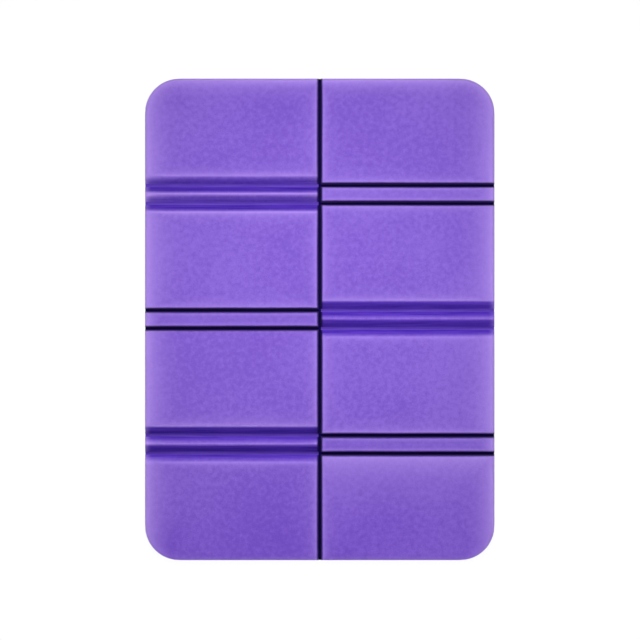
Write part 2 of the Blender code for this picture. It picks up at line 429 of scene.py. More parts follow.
@dataclass(frozen=True)
class EdgeShaper:
    """Shapes the edges of the foam blocks.

    Attributes:
        plan: The mat's sizes.
        outer_round: How far the outline's rounding reaches inwards.
        outer_power: How square the outline's rounding is.
        slit_lip: How far a slit's wall and lip lean out from its foot.
        slit_power: How square a slit's lip is.
        groove_shoulder: Radius of a V groove's shoulder.
        groove_angle: Slope of a V groove's wall.
        back_round: Rounding of the back along the outline.
        back_nick: Rounding of the back along a hinge line.
        roll_depth: How much the face drops in its soft roll towards an edge.
        roll_reach: The length over which the roll fades.
        roll_steps: Where the roll's grid lines lie, past the edge's own shape.
        round_steps: Grid lines over a rounded edge.
        wall_steps: Grid lines over a V groove's straight wall.
        shoulder_steps: Grid lines over a V groove's shoulder.
        rim_line: Where an outline's rim is palest, as a share of its rounding.
        rim_rise: The rises between which an outline's rim sets in.
        sear_span: Where the painted shade on a slit's wall starts to fade and is gone, in lips from its
            foot.
        lip_span: Where the painted highlight beside a slit sets in and is palest, in lips from its foot.
        shoulder_lead: How far a shoulder's rim takes to set in, in wall lengths.
        side_rim: The pale rim along the long sides, painted sheen.
        head_rim: The pale rim along the head, painted sheen.
        foot_rim: The faint rim along the foot, where the painted sheen is weak because less light falls
            there.
        slit_rim: The pale rim beside a slit, a painted highlight.
        shoulder_rim: The pale rim along a V groove's shoulder, a painted highlight.
    """

    plan: MatPlan
    outer_round: float = 0.0042
    outer_power: float = 2.5
    slit_lip: float = 0.0018
    slit_power: float = 2.6
    groove_shoulder: float = 0.006
    groove_angle: float = math.radians(45)
    back_round: float = 0.0010
    back_nick: float = 0.00025
    roll_depth: float = 0.00022
    roll_reach: float = 0.0032
    roll_steps: tuple[float, ...] = (0.0006, 0.0014, 0.0026, 0.0042, 0.0064, 0.0092, 0.013, 0.018, 0.025)
    round_steps: int = 11
    wall_steps: int = 8
    shoulder_steps: int = 11
    rim_line: float = 0.5
    rim_rise: Pair = (0.05, 0.50)
    sear_span: Pair = (0.15, 1.10)
    lip_span: Pair = (0.75, 1.15)
    shoulder_lead: float = 0.36
    side_rim: RimFade = RimFade(near=0.0045, far=0.0120, far_share=0.65)
    head_rim: RimFade = RimFade(near=0.0040, far=0.0090, far_share=0.2)
    foot_rim: RimFade = RimFade(near=0.0012, far=0.0040, far_share=0.2, strength=0.22)
    slit_rim: RimFade = RimFade(near=0.0016, far=0.0080, far_share=0.35, strength=0.6)
    shoulder_rim: RimFade = RimFade(near=0.0016, far=0.0075, far_share=0.35)

    def profile(self, edge: BlockEdge) -> EdgeProfile:
        """Makes the profile of a block's edge.

        Args:
            edge: The edge.

        Returns:
            Its profile.
        """
        if edge.kind is EdgeKind.SLIT:
            return self.slit(edge.rim or self.slit_rim)
        if edge.wall:
            return self.groove(edge.wall)
        return self.outline(edge.kind)

    def rolled(self, inset: np.ndarray, rise: np.ndarray) -> tuple[np.ndarray, np.ndarray]:
        """Adds the soft roll that leads from an edge's own shape to the level face.

        Args:
            inset: The edge's own insets.
            rise: The edge's own rises, which end at 1.

        Returns:
            The insets and rises with the roll's lines added.
        """
        drop = self.roll_depth / self.plan.depth
        steps = np.array(self.roll_steps)
        roll = 1.0 - drop * np.exp(-steps / self.roll_reach)
        return np.concatenate([inset, inset[-1] + steps]), np.concatenate([rise * (1.0 - drop), roll])

    def sunk(self, inset: np.ndarray, reach: float) -> np.ndarray:
        """How far the back has sunk at each line, with a round of that reach along the edge."""
        share = np.clip((inset - inset[0]) / reach, 0.0, 1.0)
        return np.sqrt(1.0 - (1.0 - share) ** 2)

    def outline(self, kind: EdgeKind) -> EdgeProfile:
        """Shapes an edge of the outline, with a soft round on the face and a small one on the back.

        Args:
            kind: Which part of the outline.

        Returns:
            The profile.
        """
        share, rise = rounded_quarter(self.outer_power, self.round_steps)
        inset, rise = self.rolled(share * self.outer_round, rise)
        past = inset - self.rim_line * self.outer_round
        # The outline's pale rims are painted sheen, faint at the foot where less light falls
        rims = {EdgeKind.SIDE: self.side_rim, EdgeKind.HEAD: self.head_rim, EdgeKind.FOOT: self.foot_rim}
        return EdgeProfile(
            inset=inset,
            rise=rise,
            sink=self.sunk(inset, self.back_round),
            pressed=np.zeros_like(inset),
            seared=np.zeros_like(inset),
            rim=rims[kind].at(past) * smooth_step(*self.rim_rise, rise),
        )

    def slit(self, fade: RimFade) -> EdgeProfile:
        """Shapes one leaning wall of a slit, with its lip.

        Args:
            fade: The painted highlight beside it.

        Returns:
            The profile.
        """
        share, rise = rounded_quarter(self.slit_power, self.round_steps)
        inset, rise = self.rolled(self.plan.web_half + share * self.slit_lip, rise)
        past = (inset - self.plan.web_half) / self.slit_lip
        palest = self.lip_span[1]
        return EdgeProfile(
            inset=inset,
            rise=rise,
            sink=self.sunk(inset, self.back_nick),
            pressed=np.zeros_like(inset),
            # The wall is dark with painted shade, and the lip pale with a painted highlight
            seared=1.0 - smooth_step(*self.sear_span, past),
            rim=smooth_step(*self.lip_span, past) * fade.at((past - palest) * self.slit_lip),
        )

    def groove(self, wall: GrooveWall) -> EdgeProfile:
        """Shapes one wall of a V groove, with its broad shoulder.

        Args:
            wall: The marks on it, with their painted shade and highlight.

        Returns:
            The profile.
        """
        foot = self.plan.groove_half
        slope = math.tan(self.groove_angle)
        crossing = foot + self.plan.depth / slope
        tangent = self.groove_shoulder * math.tan(self.groove_angle / 2)
        wall_end = crossing - tangent * math.cos(self.groove_angle)
        straight = np.linspace(foot, wall_end, self.wall_steps, endpoint=False)
        turn = np.linspace(self.groove_angle, 0.0, self.shoulder_steps)
        shoulder = crossing + tangent - self.groove_shoulder * np.sin(turn)
        drop = self.groove_shoulder * (1.0 - np.cos(turn))
        inset = np.concatenate([straight, shoulder])
        height = np.concatenate([(straight - foot) * slope, self.plan.depth - drop])
        inset, rise = self.rolled(inset, height / self.plan.depth)
        share = inset / wall_end
        # The press mark is partly the pressed foam's colour and partly painted shade deep in the groove,
        # and the rim is a painted highlight on the shoulder
        pressed = wall.mark * (1.0 - smooth_step(wall.mark_start, wall.mark_end, share))
        rim = smooth_step(wall.mark_end - self.shoulder_lead, wall.mark_end, share)
        return EdgeProfile(
            inset=inset,
            rise=rise,
            sink=self.sunk(inset, self.back_nick),
            pressed=pressed,
            seared=wall.scorch * pressed,
            rim=wall.rim * rim * self.shoulder_rim.at(inset - wall.mark_end * wall_end),
        )


@dataclass(frozen=True)
class Section(SkinLines):
    """A foam block's section along one axis.

    Attributes:
        place: Each line's place along the axis.
        outer: Whether the line belongs to the mat's outline.
    """

    place: np.ndarray
    outer: np.ndarray

    @classmethod
    def between(
        cls,
        shaper: EdgeShaper,
        low: BlockEdge,
        high: BlockEdge,
        spacing: float,
        crest: float,
    ) -> "Section":
        """Joins two edges with level lines between them.

        Args:
            shaper: Shapes the edges.
            low: The edge on the low side.
            high: The edge on the high side.
            spacing: The widest step between two level lines.
            crest: Half the least width of the level part.

        Returns:
            The section from the low edge to the high edge.
        """
        reach = (high.place - low.place) / 2 - crest
        first = shaper.profile(low)
        last = shaper.profile(high)
        first_kept = first.inset < reach
        last_kept = last.inset < reach
        start = low.place + first.inset[first_kept]
        stop = (high.place - last.inset[last_kept])[::-1]
        count = max(2, math.ceil((stop[0] - start[-1]) / spacing))
        share = np.linspace(0.0, 1.0, count + 1)[1:-1]

        def joined(name: str) -> np.ndarray:
            """Joins one value of the two edges.

            Args:
                name: The value's name.

            Returns:
                The value along the whole section.
            """
            before = getattr(first, name)[first_kept]
            after = getattr(last, name)[last_kept][::-1]
            level = before[-1] + (after[0] - before[-1]) * share
            return np.concatenate([before, level, after])

        level_place = start[-1] + (stop[0] - start[-1]) * share
        outer = np.concatenate(
            [
                np.full(len(start), low.kind.on_outline),
                np.zeros(len(share), bool),
                np.full(len(stop), high.kind.on_outline),
            ]
        )
        values = {field.name: joined(field.name) for field in fields(SkinLines)}
        return cls(place=np.concatenate([start, level_place, stop]), outer=outer, **values)


def closed_skin(name: str, face: np.ndarray, back: np.ndarray, masks: dict[str, np.ndarray]) -> Piece:
    """Makes a closed mesh from a face grid and a back grid that share their border.

    Args:
        name: The piece's name.
        face: Points of the face, by X line, Y line and axis.
        back: Points of the back, in the same order. Its border isn't read.
        masks: Values for each point of the face, by attribute name. They are 0 on the back.

    Returns:
        The new object, linked to the scene.
    """
    columns, lines = face.shape[:2]
    face_index = np.arange(columns * lines).reshape(columns, lines)
    inner = np.zeros((columns, lines), bool)
    inner[1:-1, 1:-1] = True
    back_index = face_index.copy()
    back_index[inner] = columns * lines + np.arange(inner.sum())
    points = np.concatenate([face.reshape(-1, 3), back[inner]])

    def quads(index: np.ndarray) -> np.ndarray:
        """The grid's faces, counter-clockwise from above."""
        corners = [index[:-1, :-1], index[1:, :-1], index[1:, 1:], index[:-1, 1:]]
        return np.stack(corners, axis=-1).reshape(-1, 4)

    faces = np.concatenate([quads(face_index), quads(back_index)[:, ::-1]])
    mesh = bpy.data.meshes.new(name)
    mesh.from_pydata(points.tolist(), [], faces.tolist())
    for mask_name, values in masks.items():
        spread = np.zeros(len(points), np.float32)
        spread[: columns * lines] = values.reshape(-1)
        mesh.attributes.new(mask_name, "FLOAT", "POINT").data.foreach_set("value", spread)
    mesh.validate()
    mesh.shade_smooth()
    mesh.set_sharp_from_angle(angle=CREASE_ANGLE)
    piece = bpy.data.objects.new(name, mesh)
    bpy.context.scene.collection.objects.link(piece)
    return piece


@dataclass(frozen=True)
class FoamUnevenness:
    """The slight unevenness of pressed foam, the same at a place for every block.

    Attributes:
        wander: How far the edges wander in plan.
        wander_scale: Waves of wander to the metre.
        swell: How far the face rises and falls.
        swell_scale: Waves of swell to the metre.
        wander_layer: The level at which the wander cuts through its noise.
        swell_layer: The level at which the swell cuts through its noise.
    """

    wander: float = 0.00016
    wander_scale: float = 26.0
    swell: float = 0.00007
    swell_scale: float = 48.0
    wander_layer: float = 0.37
    swell_layer: float = 5.2

    def shift(self, x: float, y: float) -> Point:
        """Says how far a point of the face at full height moves.

        Args:
            x: The point's place along X.
            y: The point's place along Y.

        Returns:
            Its shift along each axis.
        """
        wander_place = Vector((x * self.wander_scale, y * self.wander_scale, self.wander_layer))
        swell_place = Vector((x * self.swell_scale, y * self.swell_scale, self.swell_layer))
        drift = noise.noise_vector(wander_place)
        swell = noise.noise(swell_place)
        return drift.x * self.wander, drift.y * self.wander, swell * self.swell


@dataclass(frozen=True)
class CornerGrid:
    """A block's grid in plan, bent round the mat's corners. Each value is by X line and Y line.

    Attributes:
        x: The points' places along X.
        y: The points' places along Y.
        inside: Whether the point lies in a corner of the mat.
        ring: Distance from the corner's centre.
        turn: Angle round the corner, 0 at the long side.
    """

    x: np.ndarray
    y: np.ndarray
    inside: np.ndarray
    ring: np.ndarray
    turn: np.ndarray

    @classmethod
    def over(cls, plan: MatPlan, across: np.ndarray, along: np.ndarray) -> "CornerGrid":
        """Lays a grid out in plan.

        Args:
            plan: The mat's sizes.
            across: The grid lines' places along X.
            along: The grid lines' places along Y.

        Returns:
            The grid, with square rings in the corners made round.
        """
        x, y = np.meshgrid(across, along, indexing="ij")
        centre_x = plan.half_width - plan.corner_radius
        centre_y = plan.half_length - plan.corner_radius
        beyond_x = np.abs(x) - centre_x
        beyond_y = np.abs(y) - centre_y
        inside = (beyond_x > 0) & (beyond_y > 0)
        ring = np.maximum(beyond_x, beyond_y)
        share = np.minimum(beyond_x, beyond_y) / np.where(inside, ring, 1.0)
        lean = math.pi / 4 * share
        turn = np.where(beyond_x >= beyond_y, lean, math.pi / 2 - lean)
        round_x = np.sign(x) * (centre_x + ring * np.cos(turn))
        round_y = np.sign(y) * (centre_y + ring * np.sin(turn))
        return cls(np.where(inside, round_x, x), np.where(inside, round_y, y), inside, ring, turn)


@dataclass(frozen=True)
class FoamBlock:
    """One thick region of the mat, a panel or a spine strip.

    Attributes:
        name: The piece's name.
        node: The CAD node that it stands for.
        body: The CAD body that it rides on.
        slot: The record's material slot, which is not used.
        plan: The mat's sizes.
        across: The section along X.
        along: The section along Y.
        rim_share: How much of the sections' painted highlights the block shows.
        face_mark: How much the face is darkened with the pressed colour, away from its rims.
        unevenness: How uneven the foam is.
        end_fade: How much of the press mark and its painted shade is lost where a groove runs out at the
            outline.
        end_reach: The length over which it is lost.
    """

    name: str
    node: str
    body: str
    slot: str
    plan: MatPlan
    across: Section
    along: Section
    rim_share: float = 1.0
    face_mark: float = 0.0
    unevenness: FoamUnevenness = FoamUnevenness()
    end_fade: float = 0.4
    end_reach: float = 0.0055

    def combined(self, name: str) -> np.ndarray:
        """Combines a height of the two sections over the grid.

        Two outline edges share their round at a corner of the mat. Other edges cut each other down.

        Args:
            name: Which value of the sections, rise or sink.

        Returns:
            The combined value, by X line and Y line.
        """
        first = getattr(self.across, name)[:, None]
        second = getattr(self.along, name)[None, :]
        corner = self.across.outer[:, None] & self.along.outer[None, :]
        return np.where(corner, np.minimum(first, second), first * second)

    def mask(self, name: str) -> np.ndarray:
        """The stronger of the two sections' marks over the grid."""
        return np.maximum(getattr(self.across, name)[:, None], getattr(self.along, name)[None, :])

    def corner_rim(self, corner: CornerGrid) -> np.ndarray:
        """Turns the pale rim from the long side's to the end's round a corner of the mat.

        Args:
            corner: Where the grid bends round the corners.

        Returns:
            The rim's strength, by X line and Y line.
        """
        depth_x = self.plan.half_width - np.abs(self.across.place)
        depth_y = self.plan.half_length - np.abs(self.along.place)
        order_x = np.argsort(depth_x)
        order_y = np.argsort(depth_y)
        depth = self.plan.corner_radius - corner.ring
        side = np.interp(depth, depth_x[order_x], self.across.rim[order_x])
        end = np.interp(depth, depth_y[order_y], self.along.rim[order_y])
        turned = side * np.cos(corner.turn) ** 2 + end * np.sin(corner.turn) ** 2
        return np.where(corner.inside, turned, self.mask("rim"))

    def build(self) -> Piece:
        """Makes the block's closed skin with its press marks, painted shade and painted highlights.

        Returns:
            The new piece.
        """
        corner = CornerGrid.over(self.plan, self.across.place, self.along.place)
        x, y = corner.x, corner.y
        rise = self.combined("rise")
        sink = self.combined("sink")
        shift = np.array([self.unevenness.shift(px, py) for px, py in zip(x.flat, y.flat)])
        shift = shift.reshape(*x.shape, 3) * rise[:, :, None]
        face = np.stack([x, y, self.plan.web_thickness + self.plan.depth * rise], axis=-1) + shift
        back = np.stack([x, y, self.plan.web_thickness * (1.0 - sink)], axis=-1)
        run_out = 1.0 - smooth_step(0.0, self.end_reach, self.plan.half_width - np.abs(x))
        # Painted highlights along the rims, and painted shade on the walls of the slits and grooves
        rim = self.corner_rim(corner) * self.rim_share
        wall_mark = self.mask("pressed") * (1.0 - self.end_fade * run_out)
        face_mark = self.face_mark * (1.0 - self.mask("seared")) * (1.0 - rim)
        masks = {
            "pressed": np.maximum(wall_mark, face_mark),
            "seared": self.mask("seared"),
            "rim": rim,
        }
        return closed_skin(self.name, face, back, masks)

    def dress(self, piece: Piece, material: Material) -> None:
        """Gives the piece its finish and ties it to the frame.

        Args:
            piece: The piece that build made.
            material: Its finish.
        """
        piece.data.materials.append(material)
        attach(piece, self.body)
        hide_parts(self.node)
        log.info("%s: foam block on %s", self.name, self.body)


@dataclass(frozen=True)
class WebStrip:
    """A length of the thin web under a hinge line.

    Attributes:
        name: The piece's name.
        run: The direction that it runs in.
        centre: The hinge line's place.
        across: From and to, measured from the hinge line.
        along: From and to, along the hinge line.
        plan: The mat's sizes.
        dip: How much the web thins towards the hinge line, as a share of its thickness.
        step: The longest step along the web.
        border: How far the back stands in from the face's edge.
        lines: Lines across the web, borders left out.
    """

    name: str
    run: Run
    centre: float
    across: Pair
    along: Pair
    plan: MatPlan
    dip: float
    step: float = 0.006
    border: float = 0.00008
    lines: int = 11

    def spread(self, span: Pair, count: int) -> np.ndarray:
        """Lines over a span, with a narrow border at each end."""
        inner = np.linspace(span[0] + self.border, span[1] - self.border, count)
        return np.concatenate([[span[0]], inner, [span[1]]])

    def build(self) -> Piece:
        """Makes the web's closed skin, marked as pressed on its face. Under a slit, that face is dark with
        painted shade.

        Returns:
            The new piece.
        """
        offset = self.spread(self.across, self.lines)
        length = self.spread(self.along, math.ceil(abs(self.along[1] - self.along[0]) / self.step) + 1)
        widest = np.abs(offset).max()
        thinning = self.dip * (1.0 - (offset / widest) ** 2)
        height = self.plan.web_thickness * (1.0 - thinning)
        if self.run is Run.ALONG_X:
            x, y = np.meshgrid(length, self.centre + offset, indexing="ij")
            z = np.broadcast_to(height[None, :], x.shape)
        else:
            x, y = np.meshgrid(self.centre + offset, length, indexing="ij")
            z = np.broadcast_to(height[:, None], x.shape)
        face = np.stack([x, y, z], axis=-1)
        back = np.stack([x, y, np.zeros_like(x)], axis=-1)
        return closed_skin(self.name, face, back, {"pressed": np.ones_like(x)})


class NodeSheet:
    """Adds and joins nodes in one node tree."""

    def __init__(self, tree: bpy.types.NodeTree) -> None:
        """Starts on an empty tree.

        Args:
            tree: The node tree to fill.
        """
        self.tree = tree
        self.tree.nodes.clear()

    def add(self, kind: str, **settings: object) -> Node:
        """Adds a node.

        Args:
            kind: The node's type name.
            **settings: Attributes of the node itself.

        Returns:
            The new node.
        """
        node = self.tree.nodes.new(kind)
        for name, value in settings.items():
            setattr(node, name, value)
        return node

    def join(self, source: Socket, target: Socket) -> None:
        """Links two sockets."""
        self.tree.links.new(source, target)

    def set_or_join(self, target: Socket, value: object) -> None:
        """Links a socket to another, or gives it a plain value.

        Args:
            target: The socket to feed.
            value: A socket or a plain value.
        """
        if isinstance(value, Socket):
            self.join(value, target)
        else:
            target.default_value = value

    def mixed(self, factor: object, first: object, second: object, blend: str = "MIX") -> Socket:
        """Mixes two colours.

        Args:
            factor: How much of the second colour shows, a socket or a number.
            first: A socket or a colour.
            second: A socket or a colour.
            blend: How the second colour acts on the first.

        Returns:
            The mixed colour's socket.
        """
        node = self.add("ShaderNodeMix", data_type="RGBA", blend_type=blend)
        self.set_or_join(node.inputs[MIX_FACTOR], factor)
        self.set_or_join(node.inputs[MIX_FIRST], first)
        self.set_or_join(node.inputs[MIX_SECOND], second)
        return node.outputs[MIX_RESULT]

    def maths(self, operation: str, first: object, second: object) -> Socket:
        """Does one piece of arithmetic.

        Args:
            operation: The Math node's operation.
            first: A socket or a number.
            second: A socket or a number.

        Returns:
            The result's socket.
        """
        node = self.add("ShaderNodeMath", operation=operation)
        self.set_or_join(node.inputs[0], first)
        self.set_or_join(node.inputs[1], second)
        return node.outputs[0]

    def ranged(self, value: object, source: Pair, target: Pair) -> Socket:
        """Maps a value from one range to another, with its ends held.

        Args:
            value: The value's socket.
            source: The range that it comes in.
            target: The range that it leaves in.

        Returns:
            The mapped value's socket.
        """
        node = self.add("ShaderNodeMapRange")
        self.set_or_join(node.inputs["Value"], value)
        node.inputs["From Min"].default_value = source[0]
        node.inputs["From Max"].default_value = source[1]
        node.inputs["To Min"].default_value = target[0]
        node.inputs["To Max"].default_value = target[1]
        return node.outputs["Result"]

    def bumped(self, height: Socket, strength: float, depth: float) -> Socket:
        """Turns a height over the surface into a bumped normal.

        Args:
            height: The height's socket, 0 to 1.
            strength: How much of the bump shows.
            depth: The bump's depth.

        Returns:
            The normal's socket.
        """
        node = self.add("ShaderNodeBump")
        node.inputs["Strength"].default_value = strength
        node.inputs["Distance"].default_value = depth
        self.join(height, node.inputs["Height"])
        return node.outputs["Normal"]

    def noise_at(self, place: object, scale: object, detail: float, roughness: float) -> Socket:
        """Adds a noise pattern.

        Args:
            place: The coordinates' socket.
            scale: Its scale, a socket or a number.
            detail: Its octaves.
            roughness: How strong the finer octaves are.

        Returns:
            The pattern's socket, 0 to 1.
        """
        node = self.add("ShaderNodeTexNoise")
        self.join(place, node.inputs["Vector"])
        self.set_or_join(node.inputs["Scale"], scale)
        node.inputs["Detail"].default_value = detail
        node.inputs["Roughness"].default_value = roughness
        return node.outputs[0]


class ShaderGroup:
    """A shader node group that several finishes place with their own values."""

    name = "shader_group"
    inputs: dict[str, float] = {}
    outputs: tuple[str, ...] = ()

    def __init__(self) -> None:
        """Makes the group's sockets and fills it."""
        self.tree = bpy.data.node_groups.new(self.name, "ShaderNodeTree")
        for socket_name, value in self.inputs.items():
            socket = self.tree.interface.new_socket(
                socket_name, in_out="INPUT", socket_type="NodeSocketFloat"
            )
            socket.default_value = value
        for socket_name in self.outputs:
            self.tree.interface.new_socket(socket_name, in_out="OUTPUT", socket_type="NodeSocketFloat")
        sheet = NodeSheet(self.tree)
        given = sheet.add("NodeGroupInput")
        result = sheet.add("NodeGroupOutput")
        self.fill(sheet, given, result)

    def fill(self, sheet: NodeSheet, given: Node, result: Node) -> None:
        """Adds the nodes between the group's inputs and outputs."""
        raise NotImplementedError

    def place(self, sheet: NodeSheet, **values: float) -> Node:
        """Places the group in a material.

        Args:
            sheet: The material's nodes.
            **values: Values for the inputs, by name with underscores for spaces.

        Returns:
            The group node.
        """
        node = sheet.add("ShaderNodeGroup")
        node.node_tree = self.tree
        for name, value in values.items():
            node.inputs[name.replace("_", " ").title()].default_value = value
        return node


class FoamGrain(ShaderGroup):
    """The mottling and the fine closed cells of foam, and how near the mat's foot a place lies, for the
    shade painted there.

    Attributes:
        drift_noise: Octaves and roughness of the slow drift from panel to panel.
        mottle_noise: Octaves and roughness of the mottling.
        cell_noise: Octaves and roughness of the unevenness among the cells.
        wall_share: How much of the cells' height comes from their walls.
        foot_span: The places along Y between which the painted shade at the foot fades out.
    """

    name = "foam_grain"
    inputs = {"Drift Scale": 13.0, "Drift": 0.5, "Mottle Scale": 260.0, "Cell Scale": 1500.0}
    outputs = ("Mottle", "Cells", "Foot")
    drift_noise: Pair = (1.0, 0.5)
    mottle_noise: Pair = (4.0, 0.62)
    cell_noise: Pair = (2.0, 0.5)
    wall_share = 0.5
    foot_span: Pair = (-0.175, -0.115)

    def fill(self, sheet: NodeSheet, given: Node, result: Node) -> None:
        """Adds blotches of two sizes, cells with raised walls, and the fade of the painted shade from the
        foot.

        Args:
            sheet: The group's nodes.
            given: The group's inputs.
            result: The group's outputs.
        """
        place = sheet.add("ShaderNodeTexCoord").outputs["Object"]
        slow = sheet.noise_at(place, given.outputs["Drift Scale"], *self.drift_noise)
        centred = sheet.maths("SUBTRACT", slow, NOISE_MIDDLE)
        drift = sheet.maths("MULTIPLY", centred, given.outputs["Drift"])
        blotches = sheet.noise_at(place, given.outputs["Mottle Scale"], *self.mottle_noise)
        sheet.join(sheet.maths("ADD", blotches, drift), result.inputs["Mottle"])
        cells = sheet.add("ShaderNodeTexVoronoi", feature="F1")
        sheet.join(place, cells.inputs["Vector"])
        sheet.join(given.outputs["Cell Scale"], cells.inputs["Scale"])
        fine = sheet.noise_at(place, given.outputs["Cell Scale"], *self.cell_noise)
        walls = sheet.maths("MULTIPLY", cells.outputs["Distance"], self.wall_share)
        unevenness = sheet.maths("MULTIPLY", fine, 1.0 - self.wall_share)
        sheet.join(sheet.maths("ADD", walls, unevenness), result.inputs["Cells"])
        axes = sheet.add("ShaderNodeSeparateXYZ")
        sheet.join(place, axes.inputs["Vector"])
        sheet.join(sheet.ranged(axes.outputs["Y"], self.foot_span, (1.0, 0.0)), result.inputs["Foot"])


class PressStreaks(ShaderGroup):
    """Fine streaks along X that the hot tool leaves in pressed foam.

    Attributes:
        stretch: Waves to the metre along each axis, at a scale of 1.
        streak_noise: Octaves and roughness of the streaks.
    """

    name = "press_streaks"
    inputs = {"Streak Scale": 1.0}
    outputs = ("Streaks",)
    stretch: Point = (22.0, 620.0, 620.0)
    streak_noise: Pair = (3.0, 0.6)

    def fill(self, sheet: NodeSheet, given: Node, result: Node) -> None:
        """Adds a noise drawn out along the hinge lines.

        Args:
            sheet: The group's nodes.
            given: The group's inputs.
            result: The group's outputs.
        """
        place = sheet.add("ShaderNodeTexCoord").outputs["Object"]
        stretched = sheet.add("ShaderNodeMapping", vector_type="POINT")
        stretched.inputs["Scale"].default_value = self.stretch
        sheet.join(place, stretched.inputs["Vector"])
        scale = given.outputs["Streak Scale"]
        streaks = sheet.noise_at(stretched.outputs["Vector"], scale, *self.streak_noise)
        sheet.join(streaks, result.inputs["Streaks"])


class SkinMarks(ShaderGroup):
    """The block's own press marks, painted shade and painted highlights, broken up by a noise.

    Attributes:
        uneven_scale: Waves of the noise to the metre.
        uneven_noise: Its octaves and roughness.
    """

    name = "skin_marks"
    inputs = {"Break Up": 0.3, "Ragged": 1.1}
    outputs = ("Pressed", "Seared", "Rim")
    uneven_scale = 300.0
    uneven_noise: Pair = (3.0, 0.6)

    def fill(self, sheet: NodeSheet, given: Node, result: Node) -> None:
        """Reads the three marks that the mesh carries, and makes the press mark's borders ragged.

        Args:
            sheet: The group's nodes.
            given: The group's inputs.
            result: The group's outputs.
        """
        place = sheet.add("ShaderNodeTexCoord").outputs["Object"]
        uneven = sheet.noise_at(place, self.uneven_scale, *self.uneven_noise)
        centred = sheet.maths("SUBTRACT", uneven, NOISE_MIDDLE)
        pressed = sheet.add("ShaderNodeAttribute", attribute_name="pressed").outputs["Fac"]
        open_share = sheet.maths("SUBTRACT", 1.0, pressed)
        border = sheet.maths("MULTIPLY", pressed, open_share)
        ragged = sheet.maths("MULTIPLY", centred, given.outputs["Ragged"])
        torn = sheet.maths("MULTIPLY", border, ragged)
        sheet.join(sheet.maths("ADD", pressed, torn), result.inputs["Pressed"])
        seared = sheet.add("ShaderNodeAttribute", attribute_name="seared")
        sheet.join(seared.outputs["Fac"], result.inputs["Seared"])
        rim = sheet.add("ShaderNodeAttribute", attribute_name="rim").outputs["Fac"]
        sway = sheet.maths("MULTIPLY", centred, given.outputs["Break Up"])
        swayed = sheet.maths("MULTIPLY", sheet.maths("ADD", sway, 1.0), rim)
        sheet.join(swayed, result.inputs["Rim"])


@dataclass(frozen=True)
class EffectGroups:
    """The shader groups that the finishes share.

    Attributes:
        grain: Mottling, cells and the foot.
        streaks: Press streaks.
        marks: Press marks, painted shade and painted highlights on the rims.
    """

    grain: FoamGrain
    streaks: PressStreaks
    marks: SkinMarks


def new_material(name: str) -> tuple[Material, NodeSheet, Node]:
    """Makes a material with a Principled BSDF.

    Args:
        name: The material's name.

    Returns:
        The material, its nodes and its shader.
    """
    material = bpy.data.materials.new(name)
    material.use_nodes = True
    sheet = NodeSheet(material.node_tree)
    shader = sheet.add("ShaderNodeBsdfPrincipled")
    output = sheet.add("ShaderNodeOutputMaterial")
    sheet.join(shader.outputs["BSDF"], output.inputs["Surface"])
    return material, sheet, shader


